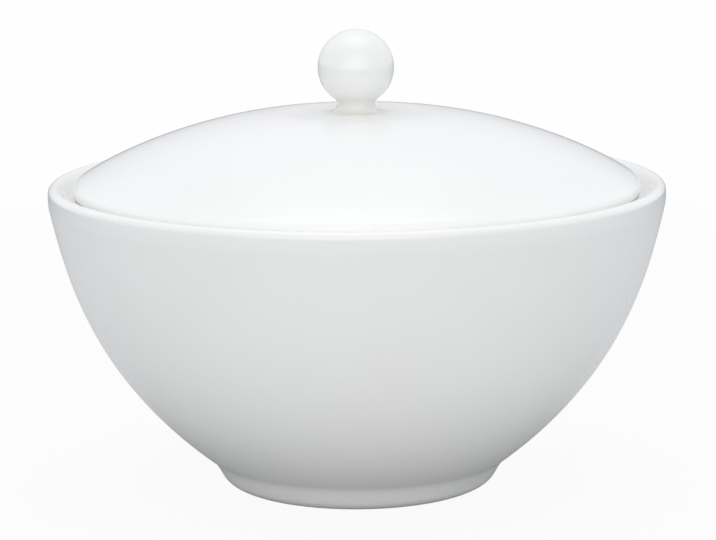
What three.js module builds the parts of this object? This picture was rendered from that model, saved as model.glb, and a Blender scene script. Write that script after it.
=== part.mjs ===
// A covered sugar bowl in white glazed china: a round bowl on a foot ring, with a loose domed lid
// that drops inside the rim, stands on a ledge there and is lifted by a ball knob.
// Millimetres, +Z up. The origin is the middle of the foot, on the surface that the bowl stands on.
import * as THREE from 'three';

// Bowl
const RIM_RADIUS = 60;
const RIM_HEIGHT = 59.4;
const LIP_OUTER_ROUND = 2;
const LIP_INNER_ROUND = 1.1;
const BOWL_WALL = 3.2;
const BOWL_FLOOR = 3.2;
const FLOOR_BLEND_HEIGHT = 4;
const WALL_FOOT_ANGLE = 52.3; // degrees from upright, where the wall leaves the foot
const WALL_FOOT_PULL = 30.6;
const WALL_RIM_ANGLE = 13; // degrees from upright, where the wall reaches the rim
const WALL_RIM_PULL = 12.5;

// Foot ring
const FOOT_RADIUS = 29;
const FOOT_HEIGHT = 5.4;
const FOOT_TAPER = 1.5;
const FOOT_ROUND = 3.75;
const FOOT_INNER_ROUND = 1;
const FOOT_STEP = 0.5; // the bowl stands out past the foot by this much
const BEARING_WIDTH = 1.5;

// Ledge inside the rim, which carries the lid
const LEDGE_DEPTH = 2.3;
const LEDGE_NOSE_ROUND = 1;
const LEDGE_SWELL_HEIGHT = 9;
const LEDGE_SWELL_PULL = 3;

// Lid
const LID_GAP = 1.8; // between the lid's edge and the inside of the rim
const LID_BEARING = 1.3; // width of the flat where the lid stands on the ledge
const LID_RISE = 15.7; // from the ledge to the flat crown
const LID_WALL = 3;
const LID_EDGE_ROUND = 2.5;
const LID_UNDER_ROUND = 1.2;
const LID_FLAT_RADIUS = 13; // flat middle of the crown, which carries the knob
const LID_CROWN_PULL = 10;
const LID_SHOULDER_ANGLE = 31.7; // degrees down from level, where the dome meets the rounded edge
const LID_SHOULDER_PULL = 14.6;

// Flange under the lid, which keeps it from sliding off the ledge
const FLANGE_CLEARANCE = 0.8;
const FLANGE_WALL = 2.5;
const FLANGE_DEPTH = 6.5;
const FLANGE_ROUND = 0.8;

// Knob
const KNOB_RADIUS = 7.35;
const KNOB_LIFT = 1.25; // from the crown to the underside of the ball
const NECK_ROUND = 1.45;

// Fineness of the faceted surfaces
const TURN_STEPS = 60;
const KNOB_TURN_STEPS = 48;
const WALL_STEPS = 10;
const DOME_STEPS = 10;
const ROUND_STEPS = 3;
const BALL_STEPS = 10;

// Heights and radii where pieces meet
const LEDGE_Z = RIM_HEIGHT - LEDGE_DEPTH;
const CROWN_Z = LEDGE_Z + LID_RISE;
const FLOOR_Z = FOOT_HEIGHT + BOWL_FLOOR;
const LIP_CREST_RADIUS = RIM_RADIUS - LIP_OUTER_ROUND;
const LEAN = Math.tan(THREE.MathUtils.degToRad(WALL_RIM_ANGLE));

function point(r, z) {
  return new THREE.Vector2(r, z);
}

// Unit vector at an angle in degrees, counted from straight outwards towards straight up.
function heading(degrees) {
  const angle = THREE.MathUtils.degToRad(degrees);
  return point(Math.cos(angle), Math.sin(angle));
}

function along(start, direction, distance) {
  return start.clone().addScaledVector(direction, distance);
}

function arc(centre, radius, from, to, steps) {
  const points = [];
  for (let i = 0; i <= steps; i += 1) {
    points.push(along(centre, heading(from + ((to - from) * i) / steps), radius));
  }
  return points;
}

// Curve that leaves start in one heading and arrives at end in another.
function sweep(start, startHeading, startPull, end, endHeading, endPull) {
  const startHandle = along(start, startHeading, startPull);
  const endHandle = along(end, endHeading, -endPull);
  return new THREE.CubicBezierCurve(start, startHandle, endHandle, end);
}

// Points beside a curve, at a distance to the left of its run (to the right if negative).
function beside(curve, distance, steps) {
  const points = [];
  for (let i = 0; i <= steps; i += 1) {
    const tangent = curve.getTangent(i / steps);
    points.push(along(curve.getPoint(i / steps), point(-tangent.y, tangent.x), distance));
  }
  return points;
}

// The part of a run of points below a limit on one axis, cut off exactly at the limit.
function upTo(points, axis, limit) {
  const next = points.findIndex((p) => p[axis] >= limit);
  const before = points[next - 1];
  const share = (limit - before[axis]) / (points[next][axis] - before[axis]);
  return [...points.slice(0, next), before.clone().lerp(points[next], share)];
}

// Round of the lip. The outer and the inner one touch at the crest.
function lipRound(radius, from, to, steps) {
  return arc(point(LIP_CREST_RADIUS, RIM_HEIGHT - radius), radius, from, to, steps);
}

const LIP_OUTSIDE = lipRound(LIP_OUTER_ROUND, -WALL_RIM_ANGLE, 90, 2 * ROUND_STEPS);
const LIP_INSIDE = lipRound(LIP_INNER_ROUND, 90, 180 - WALL_RIM_ANGLE, ROUND_STEPS);

// Radius of the inside of the rim at the ledge, where the wall inside the lip runs beside the outside.
function rimInsideRadius() {
  const inner = LIP_INSIDE[ROUND_STEPS];
  return inner.x - (inner.y - LEDGE_Z) * LEAN;
}

const LID_RADIUS = rimInsideRadius() - LID_GAP;
const LEDGE_RADIUS = LID_RADIUS - LID_UNDER_ROUND - LID_BEARING - LEDGE_NOSE_ROUND;
const FLANGE_RADIUS = LEDGE_RADIUS - FLANGE_CLEARANCE;
const FLANGE_BORE = FLANGE_RADIUS - FLANGE_WALL;

// The knob's ball and the hollow round of its neck touch, so their centres lie both radii apart.
const BALL_CENTRE = point(0, CROWN_Z + KNOB_LIFT + KNOB_RADIUS);
const NECK_RISE = BALL_CENTRE.y - CROWN_Z - NECK_ROUND;
const NECK_CENTRE = point(Math.sqrt((KNOB_RADIUS + NECK_ROUND) ** 2 - NECK_RISE ** 2), CROWN_Z + NECK_ROUND);

function glaze() {
  return new THREE.MeshStandardMaterial({ color: 0xf3f4f4, roughness: 0.12, metalness: 0 });
}

// Turns a closed outline about the upright axis.
function turned(name, outline, steps) {
  const geometry = new THREE.LatheGeometry(outline, steps);
  geometry.rotateX(Math.PI / 2);
  const mesh = new THREE.Mesh(geometry, glaze());
  mesh.name = name;
  return mesh;
}

// Outside of the bowl, from the foot up to the lip.
function bowlWall() {
  const start = point(FOOT_RADIUS + FOOT_STEP, FOOT_HEIGHT);
  const startHeading = heading(90 - WALL_FOOT_ANGLE);
  const endHeading = heading(90 - WALL_RIM_ANGLE);
  return sweep(start, startHeading, WALL_FOOT_PULL, LIP_OUTSIDE[0], endHeading, WALL_RIM_PULL);
}

// Inside of the bowl, from the middle of the floor up to the swelling below the ledge.
function bowlInside(wall) {
  const inside = beside(wall, BOWL_WALL, WALL_STEPS);
  const upper = inside.filter((p) => p.y >= FLOOR_Z + FLOOR_BLEND_HEIGHT);
  const side = upTo(upper, 'y', LEDGE_Z - LEDGE_SWELL_HEIGHT);
  const rising = side[1].clone().sub(side[0]).normalize();
  const corner = along(side[0], rising, (FLOOR_Z - side[0].y) / rising.y);
  const flatEnd = point(corner.x - corner.distanceTo(side[0]), FLOOR_Z);
  const blend = new THREE.QuadraticBezierCurve(flatEnd, corner, side[0]).getPoints(ROUND_STEPS);
  return [point(0, FLOOR_Z), ...blend.slice(0, -1), ...side];
}

// Swelling of the wall that carries the ledge, from the wall below up to the ledge's rounded nose.
function ledgeSwell(below) {
  const rising = below[1].clone().sub(below[0]).normalize();
  const noseSide = point(LEDGE_RADIUS, LEDGE_Z - LEDGE_NOSE_ROUND);
  const swell = sweep(below[1], rising, LEDGE_SWELL_PULL, noseSide, heading(90), LEDGE_SWELL_PULL);
  const noseCentre = point(LEDGE_RADIUS + LEDGE_NOSE_ROUND, noseSide.y);
  const nose = arc(noseCentre, LEDGE_NOSE_ROUND, 180, 90, ROUND_STEPS);
  return [...swell.getPoints(ROUND_STEPS).slice(1), ...nose.slice(1)];
}

function bowlShell() {
  const wall = bowlWall();
  const inside = bowlInside(wall);
  const swell = ledgeSwell(inside.slice(-2));
  const outline = [
    point(0, FOOT_HEIGHT),
    ...wall.getPoints(WALL_STEPS),
    ...LIP_OUTSIDE.slice(1),
    ...LIP_INSIDE.slice(1),
    point(rimInsideRadius(), LEDGE_Z),
    ...[...inside, ...swell].reverse(),
  ];
  return turned('bowl_shell', outline, TURN_STEPS);
}

// The foot's outside runs straight down from the bowl and rolls under to the narrow bearing face.
function footRing() {
  const rollCentre = point(FOOT_RADIUS - FOOT_TAPER - FOOT_ROUND, FOOT_ROUND);
  const top = point(FOOT_RADIUS, FOOT_HEIGHT);
  const toTop = top.clone().sub(rollCentre);
  const turn = Math.atan2(toTop.y, toTop.x) - Math.acos(FOOT_ROUND / toTop.length());
  const roll = arc(rollCentre, FOOT_ROUND, -90, THREE.MathUtils.radToDeg(turn), ROUND_STEPS);
  const bearingInner = rollCentre.x - BEARING_WIDTH;
  const innerRoll = arc(point(bearingInner, FOOT_INNER_ROUND), FOOT_INNER_ROUND, 180, 270, ROUND_STEPS);
  const outline = [
    ...roll,
    top,
    point(bearingInner - FOOT_INNER_ROUND, FOOT_HEIGHT),
    ...innerRoll,
    roll[0],
  ];
  return turned('foot_ring', outline, TURN_STEPS);
}

// Outside of the lid, from the flat crown out and down to the rounded edge.
function lidDome() {
  const edgeCentre = point(LID_RADIUS - LID_EDGE_ROUND, LEDGE_Z + LID_UNDER_ROUND);
  const shoulder = along(edgeCentre, heading(90 - LID_SHOULDER_ANGLE), LID_EDGE_ROUND);
  const start = point(LID_FLAT_RADIUS, CROWN_Z);
  const endHeading = heading(-LID_SHOULDER_ANGLE);
  return sweep(start, heading(0), LID_CROWN_PULL, shoulder, endHeading, LID_SHOULDER_PULL);
}

function lidShell() {
  const dome = lidDome();
  const inside = upTo(beside(dome, -LID_WALL, DOME_STEPS), 'x', FLANGE_BORE);
  const widest = LEDGE_Z + LID_UNDER_ROUND;
  const underCentre = point(LID_RADIUS - LID_UNDER_ROUND, widest);
  const edgeCentre = point(LID_RADIUS - LID_EDGE_ROUND, widest);
  const under = arc(underCentre, LID_UNDER_ROUND, -90, 0, ROUND_STEPS);
  const edge = arc(edgeCentre, LID_EDGE_ROUND, 0, 90 - LID_SHOULDER_ANGLE, ROUND_STEPS);
  const outline = [
    point(0, CROWN_Z - LID_WALL),
    ...inside,
    point(FLANGE_BORE, LEDGE_Z),
    ...under,
    ...edge.slice(1),
    ...dome.getPoints(DOME_STEPS).reverse().slice(1),
    point(0, CROWN_Z),
  ];
  return turned('lid_shell', outline, TURN_STEPS);
}

function lidLocatingFlange() {
  const low = LEDGE_Z - FLANGE_DEPTH + FLANGE_ROUND;
  const inner = arc(point(FLANGE_BORE + FLANGE_ROUND, low), FLANGE_ROUND, 180, 270, ROUND_STEPS);
  const outer = arc(point(FLANGE_RADIUS - FLANGE_ROUND, low), FLANGE_ROUND, 270, 360, ROUND_STEPS);
  const outline = [
    ...inner,
    ...outer,
    point(FLANGE_RADIUS, LEDGE_Z),
    point(FLANGE_BORE, LEDGE_Z),
    inner[0],
  ];
  return turned('lid_locating_flange', outline, TURN_STEPS);
}

// The ball stands on a short waisted neck, whose hollow round runs into the ball and into the crown.
function lidKnob() {
  const toBall = BALL_CENTRE.clone().sub(NECK_CENTRE);
  const meet = THREE.MathUtils.radToDeg(Math.atan2(toBall.y, toBall.x));
  const neck = arc(NECK_CENTRE, NECK_ROUND, 270, meet, 2 * ROUND_STEPS);
  const ball = arc(BALL_CENTRE, KNOB_RADIUS, meet - 180, 90, BALL_STEPS);
  const outline = [point(0, CROWN_Z), ...neck, ...ball.slice(1)];
  return turned('lid_knob', outline, KNOB_TURN_STEPS);
}

const bowl = new THREE.Group();
bowl.add(bowlShell(), footRing());

const lid = new THREE.Group();
lid.add(lidShell(), lidLocatingFlange(), lidKnob());

const sugarBowl = new THREE.Group();
sugarBowl.add(bowl, lid);

export default sugarBowl;
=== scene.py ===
# %% [markdown]
# A covered sugar bowl in white glazed china
#
# The real thing is two loose pieces of china: a round bowl on a foot ring, and a domed lid with a ball knob that
# drops inside the rim. The CAD model gives every size and place. This lesson turns each piece afresh as a smooth
# surface, as a potter turns it on a wheel, and gives it the glaze, the light and the camera.

# %% Load the frame
import math

import bpy
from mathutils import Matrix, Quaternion, Vector


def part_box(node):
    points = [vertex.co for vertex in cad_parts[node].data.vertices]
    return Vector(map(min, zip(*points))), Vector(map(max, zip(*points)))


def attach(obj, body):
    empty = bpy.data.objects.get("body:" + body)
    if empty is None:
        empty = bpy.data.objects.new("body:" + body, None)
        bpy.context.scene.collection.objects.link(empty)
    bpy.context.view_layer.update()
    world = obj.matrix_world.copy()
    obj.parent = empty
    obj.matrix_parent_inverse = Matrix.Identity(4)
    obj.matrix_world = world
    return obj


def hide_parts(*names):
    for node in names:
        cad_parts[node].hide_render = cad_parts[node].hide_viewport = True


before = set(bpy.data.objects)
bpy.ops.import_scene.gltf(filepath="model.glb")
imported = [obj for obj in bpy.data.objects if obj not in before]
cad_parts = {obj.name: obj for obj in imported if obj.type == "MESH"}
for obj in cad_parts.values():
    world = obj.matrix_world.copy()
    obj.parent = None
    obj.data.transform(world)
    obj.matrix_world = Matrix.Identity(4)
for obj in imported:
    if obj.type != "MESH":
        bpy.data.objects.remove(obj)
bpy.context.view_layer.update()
print("nodes:", ", ".join(sorted(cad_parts)))

# %% [markdown]
# Sizes that the frame gives
#
# A size could be typed in again here, but then two files would have to agree. The boxes of the CAD nodes already
# hold the radii and the heights where pieces meet, so those are read, and only the curves between them are new.

# %% Sizes from the frame
MM = 0.001
rim_radius, _, rim_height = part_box("bowl_shell")[1]
foot_radius, _, foot_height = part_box("foot_ring")[1]
lid_radius, _, crown_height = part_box("lid_shell")[1]
ledge_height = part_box("lid_shell")[0].z
flange_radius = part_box("lid_locating_flange")[1].x
flange_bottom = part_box("lid_locating_flange")[0].z
knob_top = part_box("lid_knob")[1].z
print(f"rim {2 * rim_radius / MM:.1f} mm across, {knob_top / MM:.1f} mm high over the knob")

# %% [markdown]
# Drawing an outline
#
# Every piece here is round about one upright axis, so it is fully described by an outline of radius and height.
# Straight stretches need only their ends. Round stretches are arcs, and the long wall and the dome are curves
# that leave one point in a given heading and arrive at another in a given heading, as a bent batten does.


# %% Outline helpers
def point(radius, height):
    return Vector((radius, height))


def heading(degrees):
    """Unit vector, counted from straight outwards (0) towards straight up (90)."""
    angle = math.radians(degrees)
    return point(math.cos(angle), math.sin(angle))


def arc(centre, radius, start, end, steps=10):
    turn = (end - start) / steps
    return [centre + heading(start + turn * i) * radius for i in range(steps + 1)]


def batten(start, leave, leave_pull, end, arrive, arrive_pull, steps=40):
    """Points on a curve, each with the curve's own heading there."""
    a = start + leave * leave_pull
    b = end - arrive * arrive_pull
    run = []
    for i in range(steps + 1):
        t = i / steps
        s = 1 - t
        place = start * s**3 + a * (3 * s * s * t) + b * (3 * s * t * t) + end * t**3
        slope = (a - start) * (s * s) + (b - a) * (2 * s * t) + (end - b) * (t * t)
        run.append((place, slope.normalized()))
    return run


def places(run):
    return [place for place, _ in run]


def beside(run, distance):
    """The run moved sideways, to the left of its heading."""
    return [(p + point(-h.y, h.x) * distance, h) for p, h in run]


def fillet(corner, arrive, leave, reach):
    """Rounds a corner off, from a reach before it to a reach after it."""
    return places(batten(corner - arrive * reach, arrive, reach * 0.6, corner + leave * reach, leave, reach * 0.6,
                         steps=10))


# %% [markdown]
# From an outline to a turned piece
#
# A screw modifier or a ring of extruded loops would also make a round body. Spinning the outline is the closest
# to a potter's wheel, and keeps the outline's own points, so rims and creases land where they are drawn. The
# outline starts as a plane merged to one vertex, which is then extruded from point to point. Spin leaves a seam
# where the turn closes and a heap of vertices on the axis, so doubles are merged before the normals are set.


# %% Turning helper
WHEEL_STEPS = 180
CREASE = math.radians(30)


def turn_piece(name, outline):
    bpy.ops.object.select_all(action="DESELECT")
    bpy.ops.mesh.primitive_plane_add(size=MM)
    piece = bpy.context.object
    piece.name = name
    bpy.ops.object.mode_set(mode="EDIT")
    bpy.ops.mesh.select_all(action="SELECT")
    bpy.ops.mesh.merge(type="CENTER")
    at = outline[0]
    bpy.ops.transform.translate(value=(at.x, 0, at.y))
    for spot in outline[1:]:
        step = spot - at
        bpy.ops.mesh.extrude_region_move(TRANSFORM_OT_translate={"value": (step.x, 0, step.y)})
        at = spot
    bpy.ops.mesh.select_all(action="SELECT")
    bpy.ops.mesh.spin(steps=WHEEL_STEPS, angle=math.tau, center=(0, 0, 0), axis=(0, 0, 1))
    bpy.ops.mesh.select_all(action="SELECT")
    bpy.ops.mesh.remove_doubles(threshold=0.01 * MM)
    bpy.ops.mesh.normals_make_consistent(inside=False)
    bpy.ops.object.mode_set(mode="OBJECT")
    bpy.ops.object.transform_apply(location=True, rotation=True, scale=True)
    bpy.ops.object.shade_smooth_by_angle(angle=CREASE)
    print(f"{name}: {len(outline)} outline points, {len(piece.data.polygons)} faces")
    return piece


# %% [markdown]
# The bowl
#
# The wall leaves the foot leaning well out and is nearly upright at the rim. It is one thickness of clay, so the
# inside is the outside moved in by the wall. Inside the rim is a small ledge, which the lid stands on, and under
# the ledge the wall swells and thins again. A finger and a wet sponge shape the lip: the last of the wall turns
# up and tucks in a little, the crest is narrow, and from there a soft slope runs in and down to the ledge, so
# there is no dark gap round the lid.

# %% Turn the bowl
bowl_wall = 3.2 * MM
bowl_floor = 3.2 * MM
foot_step = 0.5 * MM
rim_lean = 13
foot_lean = 52.3
lip_outer = 2 * MM
lip_crest = 1.3 * MM
lip_tuck = 3
crest = rim_radius - 1.6 * MM
wall_start = point(foot_radius + foot_step, foot_height)
wall_rise = heading(90 - foot_lean)
wall_end = point(rim_radius - lip_outer, rim_height - lip_outer) + heading(-rim_lean) * lip_outer
wall = batten(wall_start, wall_rise, 30.6 * MM, wall_end, heading(90 - rim_lean), 12.5 * MM)
wall = [(p, h) for p, h in wall if p.y < rim_height - 4 * MM]
lip_over = arc(point(crest, rim_height - lip_crest), lip_crest, lip_tuck, 90, steps=12)
wall += batten(*wall[-1], 1.1 * MM, lip_over[0], heading(90 + lip_tuck), 1.1 * MM, steps=16)[1:]

ledge_outer = crest - 3.2 * MM
ledge_rim = point(ledge_outer, ledge_height)
rim_slope = places(batten(lip_over[-1], heading(180), 1.3 * MM, ledge_rim, heading(180), 1.3 * MM, steps=18))

nose_round = 1 * MM
ledge_radius = flange_radius + 0.8 * MM
nose = arc(point(ledge_radius + nose_round, ledge_height - nose_round), nose_round, 90, 180)

floor_height = foot_height + bowl_floor
swell_bottom = ledge_height - 9 * MM
floor_blend = 4 * MM
side = [(p, h) for p, h in beside(wall, bowl_wall) if floor_height + floor_blend < p.y < swell_bottom]
swell = batten(side[-1][0], side[-1][1], 3 * MM, nose[-1], heading(90), 3 * MM, steps=14)
side_start, side_rise = side[0]
floor_corner = side_start - side_rise * ((side_start.y - floor_height) / side_rise.y)
floor_fill = fillet(floor_corner, heading(0), side_rise, (side_start - floor_corner).length)
inside = [point(0, floor_height), *floor_fill[:-1], *places(side), *places(swell)[1:-1]]
bowl = turn_piece("bowl", [
    point(0, foot_height), *places(wall), *lip_over[1:], *rim_slope[1:],
    *nose, *reversed(inside),
])

# %% [markdown]
# The foot ring
#
# The foot's outside runs in as it goes down and rolls under to a narrow flat, which is all that touches the
# table. At the top it is luted to the bowl with slip, and the join is sponged smooth and then filled by the
# glaze, so the foot flares into the wall without a line. Inside, a cove does the same for the recess.

# %% Turn the foot ring
foot_round = 3.75 * MM
foot_taper = 1.5 * MM
bearing_width = 1.5 * MM
foot_inner_round = 1 * MM
flare_height = 3.2 * MM
cove = 1.2 * MM
roll_centre = point(foot_radius - foot_taper - foot_round, foot_round)
to_top = point(foot_radius, foot_height) - roll_centre
roll_end = math.degrees(math.atan2(to_top.y, to_top.x) - math.acos(foot_round / to_top.length))
roll = arc(roll_centre, foot_round, -90, roll_end, steps=16)
foot_rise = heading(roll_end + 90)
flare_start = roll[-1] + foot_rise * ((foot_height - flare_height - roll[-1].y) / foot_rise.y)
flare = batten(flare_start, foot_rise, 1.6 * MM, wall_start, wall_rise, 1.2 * MM, steps=14)
bearing_inner = roll_centre.x - bearing_width
recess_radius = bearing_inner - foot_inner_round
inner_roll = arc(point(bearing_inner, foot_inner_round), foot_inner_round, 180, 270)
recess_cove = arc(point(recess_radius - cove, foot_height - cove), cove, 90, 0)
foot = turn_piece("foot_ring_turned", [*roll, *places(flare), *recess_cove, *inner_roll, roll[0]])

# %% [markdown]
# The lid
#
# The dome is flat round the knob and falls away more and more to a rounded edge. Its underside follows the dome
# one wall below and rounds down into the flange. Outside the flange a flat ring stands on the ledge.

# %% Turn the lid
lid_wall = 3 * MM
lid_edge_round = 2.5 * MM
lid_under_round = 1.2 * MM
shoulder_slope = 31.7
flat_radius = 13 * MM
flange_bore = flange_radius - 2.5 * MM
widest = ledge_height + lid_under_round
edge_centre = point(lid_radius - lid_edge_round, widest)
top_edge = arc(edge_centre, lid_edge_round, 0, 90 - shoulder_slope)
dome = batten(point(flat_radius, crown_height), heading(0), 10 * MM,
              top_edge[-1], heading(-shoulder_slope), 14.6 * MM)
under_dome = [(p, h) for p, h in beside(dome, -lid_wall) if p.x < flange_bore - 2 * MM]
under_end, under_fall = under_dome[-1]
root = batten(under_end, under_fall, 1.4 * MM, point(flange_bore, under_end.y - 3 * MM), heading(-90), 1.2 * MM,
              steps=10)
under_edge = arc(point(lid_radius - lid_under_round, widest), lid_under_round, -90, 0)
lid = turn_piece("lid", [
    point(0, crown_height - lid_wall), *places(under_dome), *places(root)[1:],
    point(flange_bore, ledge_height), *under_edge, *top_edge[1:],
    *reversed(places(dome)[:-1]), point(0, crown_height),
])

# %% [markdown]
# The flange under the lid
#
# A short ring under the lid drops inside the ledge, so that the lid can't slide off when the bowl is carried.

# %% Turn the flange
flange_round = 0.8 * MM
flange_low = flange_bottom + flange_round
flange = turn_piece("lid_flange", [
    *arc(point(flange_bore + flange_round, flange_low), flange_round, 180, 270),
    *arc(point(flange_radius - flange_round, flange_low), flange_round, 270, 360),
    point(flange_radius, ledge_height), point(flange_bore, ledge_height),
    point(flange_bore, flange_low),
])

# %% [markdown]
# The knob
#
# A ball on a short waisted neck. The hollow round of the neck touches both the ball and the lid, so the centres
# of ball and hollow lie both radii apart, and that fixes where the neck stands.

# %% Turn the knob
knob_lift = 1.25 * MM
neck_round = 1.45 * MM
ball_radius = (knob_top - crown_height - knob_lift) / 2
ball_centre = point(0, knob_top - ball_radius)
neck_height = crown_height + neck_round
neck_reach = math.sqrt((ball_radius + neck_round) ** 2 - (ball_centre.y - neck_height) ** 2)
neck_centre = point(neck_reach, neck_height)
to_ball = ball_centre - neck_centre
meet = math.degrees(math.atan2(to_ball.y, to_ball.x))
neck = arc(neck_centre, neck_round, 270, meet, steps=16)
ball = arc(ball_centre, ball_radius, meet - 180, 90, steps=40)
knob = turn_piece("knob", [point(0, crown_height), *neck, *ball[1:]])

# %% [markdown]
# Put each piece on its body
#
# The lid, its flange and its knob lift together, and the bowl stays with its foot.

# %% Ride and replace
homes = [
    (bowl, "bowl", "bowl_shell", "bowl_glaze"),
    (foot, "bowl", "foot_ring", "foot_glaze"),
    (lid, "lid", "lid_shell", "lid_glaze"),
    (flange, "lid", "lid_locating_flange", "flange_glaze"),
    (knob, "lid", "lid_knob", "knob_glaze"),
]
for piece, body, node, slot in homes:
    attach(piece, body)
    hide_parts(node)
    print(f"{piece.name} rides on {body} and stands for {node}")

# %% [markdown]
# Shader sums in Python
#
# A material is a graph of nodes. Written as sums it is easier to read, so one small class wraps a socket, and
# each operator on it adds the Math node that works the sum out. Every other node comes from its one method.


# %% A socket that can be added and multiplied
class Wire:
    def __init__(self, tree, socket=None):
        self.tree = tree
        self.socket = socket

    def node(self, kind, settings=None, sockets=None, output=0):
        made = self.tree.nodes.new(kind)
        for name, value in (settings or {}).items():
            setattr(made, name, value)
        for name, value in (sockets or {}).items():
            if isinstance(value, Wire):
                self.tree.links.new(value.socket, made.inputs[name])
            else:
                made.inputs[name].default_value = value
        return Wire(self.tree, made.outputs[output] if made.outputs else None)

    def math(self, operation, first, second=0.0, clamp=False):
        return self.node("ShaderNodeMath", {"operation": operation, "use_clamp": clamp}, {0: first, 1: second})

    def __add__(self, other):
        return self.math("ADD", self, other)

    def __sub__(self, other):
        return self.math("SUBTRACT", self, other)

    def __rsub__(self, other):
        return self.math("SUBTRACT", other, self)

    def __mul__(self, other):
        return self.math("MULTIPLY", self, other)

    __radd__ = __add__
    __rmul__ = __mul__

    def between(self, low, high):
        """0 below low, 1 above high, and a smooth rise between."""
        return self.node("ShaderNodeMapRange", {"interpolation_type": "SMOOTHSTEP"},
                         {"Value": self, "From Min": low, "From Max": high})

    def tint(self, first, second):
        """A colour from first (at 0) to second (at 1)."""
        return self.node("ShaderNodeMix", {"data_type": "RGBA"}, {0: self, 6: first, 7: second}, output=2)


# %% [markdown]
# The glaze
#
# White china under a clear gloss glaze. The glaze isn't quite even: it lies a little thicker here and thinner
# there, which shows as a very faint change of white and of gloss, and its surface has the slight ripple of orange
# peel. A fine body holds a few pale specks. Where the piece stands in the kiln or carries its lid, the glaze is
# wiped off before firing, or the pieces would fuse: that ring is bare, dull and a little warmer. On the ledge
# under the lid, that warmer tone also paints the warm light that bounces in the gap round the lid.
# Round the foot of the knob's neck, on the lid and up the lower neck, the white is painted a little deeper and
# creamier: painted shade in the crease where the neck meets the lid.
# A photograph of china could be wrapped on instead, but a wrap stretches on a ball and repeats, and this doesn't.

# %% Glaze the china
WHITE = (0.900, 0.901, 0.894, 1)
THIN_WHITE = (0.890, 0.889, 0.880, 1)
SPECK = (0.80, 0.79, 0.76, 1)
BISCUIT = (0.905, 0.897, 0.870, 1)
# Painted shade: the deeper, creamier white of the crease round the knob's neck.
NECK_CREASE_SHADE = (0.800, 0.790, 0.750, 1)


def china(name, bare_ring=None, hollow=None):
    material = bpy.data.materials.new(name)
    material.use_nodes = True
    tree = material.node_tree
    shader = tree.nodes["Principled BSDF"]
    start = Wire(tree)
    place = start.node("ShaderNodeTexCoord", output=3)
    cloud = start.node("ShaderNodeTexNoise", sockets={"Vector": place, "Scale": 45.0, "Detail": 3.0})
    peel = start.node("ShaderNodeTexNoise", sockets={"Vector": place, "Scale": 320.0, "Detail": 1.0})
    grain = start.node("ShaderNodeTexNoise", sockets={"Vector": place, "Scale": 2600.0, "Detail": 2.0})
    speck = start.node("ShaderNodeTexVoronoi", sockets={"Vector": place, "Scale": 130.0})
    body = cloud.between(0.35, 0.7).tint(WHITE, THIN_WHITE)
    body = ((1 - speck.between(0.02, 0.05)) * cloud.between(0.5, 0.6) * 0.35).tint(body, SPECK)
    gloss = 0.06 + 0.06 * cloud
    ripple = peel
    level_place = start.node("ShaderNodeVectorMath", {"operation": "MULTIPLY"}, {0: place, 1: (1, 1, 0)})
    radius = start.node("ShaderNodeVectorMath", {"operation": "LENGTH"}, {0: level_place}, output=1)
    height = start.node("ShaderNodeSeparateXYZ", sockets={0: place}, output=2)
    if hollow:
        body = hollow(radius, height).tint(body, NECK_CREASE_SHADE)
    if bare_ring:
        bare = bare_ring(radius, height + 0.12 * MM * (peel - 0.5))
        body = bare.tint(body, (0.4 * grain).tint(BISCUIT, THIN_WHITE))
        gloss = gloss + bare * (0.6 - gloss)
        ripple = peel + bare * 0.5 * grain
    bump = start.node("ShaderNodeBump", sockets={"Height": ripple, "Strength": 0.08, "Distance": 0.05 * MM})
    for entry, value in (("Base Color", body), ("Roughness", gloss), ("Normal", bump)):
        tree.links.new(value.socket, shader.inputs[entry])
    shader.inputs["IOR"].default_value = 1.52
    print(f"material {material.name}")
    return material


def foot_face(radius, height):
    return 1 - height.between(0.1 * MM, 0.25 * MM)


# The bare ring on the ledge under the lid. Its warmer tone also paints the warm light that bounces in the gap
# round the lid.
def bare_ledge_and_painted_bounce(radius, height):
    level = height.between(ledge_height - 0.35 * MM, ledge_height - 0.2 * MM)
    level = level * (1 - height.between(ledge_height + 0.1 * MM, ledge_height + 0.2 * MM))
    return level * (1 - radius.between(ledge_outer - 0.7 * MM, ledge_outer - 0.3 * MM))


def lid_face(radius, height):
    return 1 - height.between(ledge_height + 0.1 * MM, ledge_height + 0.25 * MM)


# Painted shade on the lid, in a ring round the foot of the knob's neck.
def shade_round_the_neck(radius, height):
    top = height.between(crown_height - 0.6 * MM, crown_height - 0.3 * MM)
    return top * (1 - radius.between(neck_reach, neck_reach + 2.2 * MM))


# Painted shade on the lower neck of the knob, where it meets the lid.
def shade_up_the_neck(radius, height):
    return 1 - height.between(crown_height + 1 * MM, crown_height + 3.5 * MM)


coats = [
    (bowl, "bowl_china", bare_ledge_and_painted_bounce, None),
    (foot, "foot_china", foot_face, None),
    (lid, "lid_china", lid_face, shade_round_the_neck),
    (flange, "flange_china", None, None),
    (knob, "knob_china", None, shade_up_the_neck),
]
for piece, name, bare_ring, hollow in coats:
    piece.data.materials.append(china(name, bare_ring, hollow))

# %% [markdown]
# The floor
#
# White china on a white sheet loses its edges, so photographers lay grey card where the china mirrors it. The
# sheet here is pale round the bowl and throws light back up under the wall, with a grey surround far off. Under
# the bowl, where its shadow falls, the sheet is painted a darker grey. This is painted shade, and it throws less
# light back up onto the lower wall. Seen by the camera, most of the sheet glows by itself, so it reaches paper
# white and still keeps the shadow of the bowl. The glaze mirrors a smaller share of that glow.

# %% Lay the floor
SHEET_WHITE = (0.60, 0.60, 0.60, 1)
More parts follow.
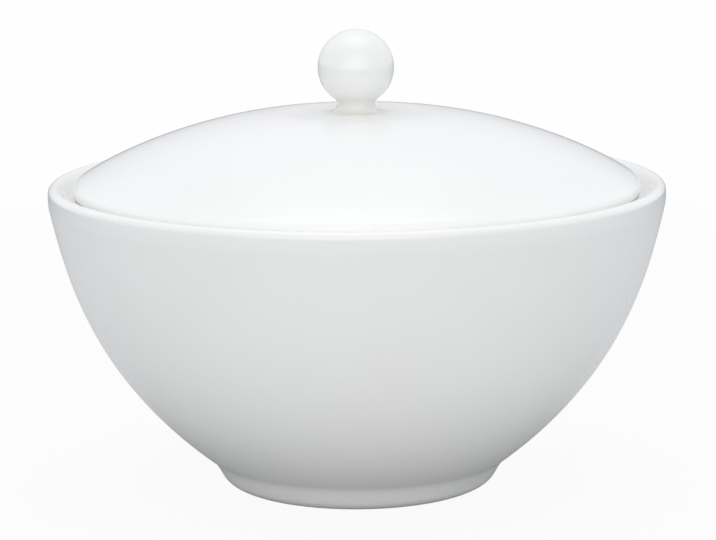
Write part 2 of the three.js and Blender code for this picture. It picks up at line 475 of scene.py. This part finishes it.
# Painted shade: a darker grey on the sheet under the bowl, where its shadow falls.
UNDER_BOWL_SHADE_GREY = (0.36, 0.36, 0.36, 1)
SURROUND_GREY = (0.22, 0.24, 0.28, 1)
bpy.ops.object.select_all(action="DESELECT")
bpy.ops.mesh.primitive_circle_add(vertices=64, radius=4, fill_type="NGON")
sheet = bpy.context.object
sheet.name = "studio_floor"
paper = bpy.data.materials.new("floor_paper")
paper.use_nodes = True
paper.node_tree.nodes.clear()
start = Wire(paper.node_tree)
rays = paper.node_tree.nodes.new("ShaderNodeLightPath")
seen = Wire(paper.node_tree, rays.outputs["Is Camera Ray"])
mirrored = Wire(paper.node_tree, rays.outputs["Is Glossy Ray"])
through = Wire(paper.node_tree, rays.outputs["Is Transmission Ray"])
place = start.node("ShaderNodeTexCoord", output=3)
distance = start.node("ShaderNodeVectorMath", {"operation": "LENGTH"}, {0: place}, output=1)
# Where the painted shade under the bowl gives way to the pale sheet.
off_the_shade_patch = distance.between(0.03, 0.07)
far = distance.between(0.12, 0.45)
grey = far.tint(off_the_shade_patch.tint(UNDER_BOWL_SHADE_GREY, SHEET_WHITE), SURROUND_GREY)
matte = start.node("ShaderNodeBsdfDiffuse", sockets={"Color": grey})
glow = start.node("ShaderNodeEmission", sockets={"Color": (1, 1, 1, 1), "Strength": 1.0})
share = (seen + through) * (0.94 + 0.05 * far) + mirrored * 0.14
mixed = start.node("ShaderNodeMixShader", sockets={0: share, 1: matte, 2: glow})
start.node("ShaderNodeOutputMaterial", sockets={"Surface": mixed})
sheet.data.materials.append(paper)
print("floor laid under the foot")

# %% [markdown]
# Studio light
#
# A white tent, brightest in front and overhead and weaker at the sides and the back: no hard lamp, so the china
# shows no sharp white square, and every shadow is soft. Lamps behind cloth could be built one by one. Here the
# tent is the world itself, and each panel of it is a soft patch of light round an axis, brightest in its middle.
# Overhead are two, a narrow lamp and the cloth round it. Where the camera looks past the floor, it sees plain
# white, while the glaze mirrors the tent.

# %% Light the studio
world = bpy.data.worlds.new("studio")
world.use_nodes = True
world.node_tree.nodes.clear()
bpy.context.scene.world = world
start = Wire(world.node_tree)
direction = start.node("ShaderNodeTexCoord", output=0)
patches = [
    # axis, cosine at the patch's edge, colour, level
    ((0, 0, 1), 0.85, (1.00, 1.00, 1.00, 1), 1.03),
    ((0, 0, 1), 0.6, (1.00, 1.00, 0.98, 1), 0.55),
    ((0, -0.99, 0.13), 0.6, (1.00, 0.995, 0.965, 1), 2.16),
    ((-1, 0, 0), 0.2, (0.90, 0.95, 1.00, 1), 1.03),
    ((1, 0, 0), 0.2, (0.90, 0.95, 1.00, 1), 1.03),
    ((0, 1, 0), 0.2, (1.00, 1.00, 1.00, 1), 0.60),
    ((0, 0.6, 0.8), 0.5, (0.92, 0.90, 1.00, 1), 0.42),
]
light = None
for axis, edge, colour, level in patches:
    lean = start.node("ShaderNodeVectorMath", {"operation": "DOT_PRODUCT"}, {0: direction, 1: axis}, output=1)
    strength = level * lean.between(edge, 1)
    patch = start.node("ShaderNodeBackground", sockets={"Color": colour, "Strength": strength})
    light = start.node("ShaderNodeAddShader", sockets={0: light, 1: patch}) if light else patch
white = start.node("ShaderNodeBackground", sockets={"Color": (1, 1, 1, 1), "Strength": 1.0})
rays = world.node_tree.nodes.new("ShaderNodeLightPath")
seen = Wire(world.node_tree, rays.outputs["Is Camera Ray"])
through = Wire(world.node_tree, rays.outputs["Is Transmission Ray"])
tent = start.node("ShaderNodeMixShader", sockets={0: seen + through, 1: light, 2: white})
start.node("ShaderNodeOutputWorld", sockets={"Surface": tent})
print(f"{len(patches)} soft patches of light")

# %% [markdown]
# The camera
#
# A long lens from a little above the rim, so that the rim shows as a flat oval and the sides hardly converge. Its
# height, aim and turn were worked out from where the rim, the wall and the foot lie in the photograph.

# %% Place the camera
PICTURE_WIDTH = 716
FOCUS = 2866.7
camera_data = bpy.data.cameras.new("camera")
camera = bpy.data.objects.new("camera", camera_data)
bpy.context.collection.objects.link(camera)
bpy.context.scene.camera = camera
camera_data.sensor_width = 36
camera_data.lens = FOCUS / PICTURE_WIDTH * camera_data.sensor_width
camera.location = (0, -0.55, 0.14562)
aim = Vector((0.0001, 0, 0.04161))
camera_roll = Quaternion((0, 0, 1), math.radians(-0.47))
camera.rotation_mode = "QUATERNION"
camera.rotation_quaternion = (aim - camera.location).to_track_quat("-Z", "Y") @ camera_roll
bpy.context.scene.view_settings.view_transform = "Standard"
print(f"lens {camera_data.lens:.1f} mm, {1000 * (aim - camera.location).length:.0f} mm from the bowl")
